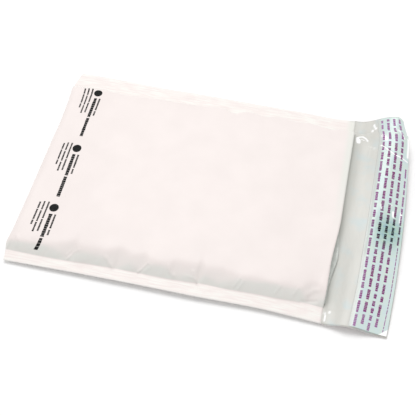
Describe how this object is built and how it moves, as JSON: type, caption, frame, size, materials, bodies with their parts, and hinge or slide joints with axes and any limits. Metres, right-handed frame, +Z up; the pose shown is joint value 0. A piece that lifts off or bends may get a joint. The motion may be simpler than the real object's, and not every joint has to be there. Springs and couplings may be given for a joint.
{
  "type": "padded envelope",
  "caption": "Poly film mailer welded along both sides, lined with bubble film, lying on its back with its self-sealing flap open and the release liner still on.",
  "frame": {"origin": "middle of the underside, at the centre of the part's footprint", "axes": "+X from the closed fold towards the open flap, +Y across the envelope, +Z up out of the address side"},
  "size_m": [0.3669, 0.241, 0.0221],
  "materials": {
    "polyethylene_film": "white co-extruded film, satin outside, grey inside",
    "bubble_film": "clear bubble film",
    "hot_melt_adhesive": "tacky hot-melt strip",
    "siliconised_film": "glossy pale aqua release liner"
  },
  "bodies": {
    "root": {"film_pouch": "polyethylene_film", "bubble_liner": "bubble_film", "adhesive_strip": "hot_melt_adhesive", "release_liner": "siliconised_film"}
  },
  "joints": []
}
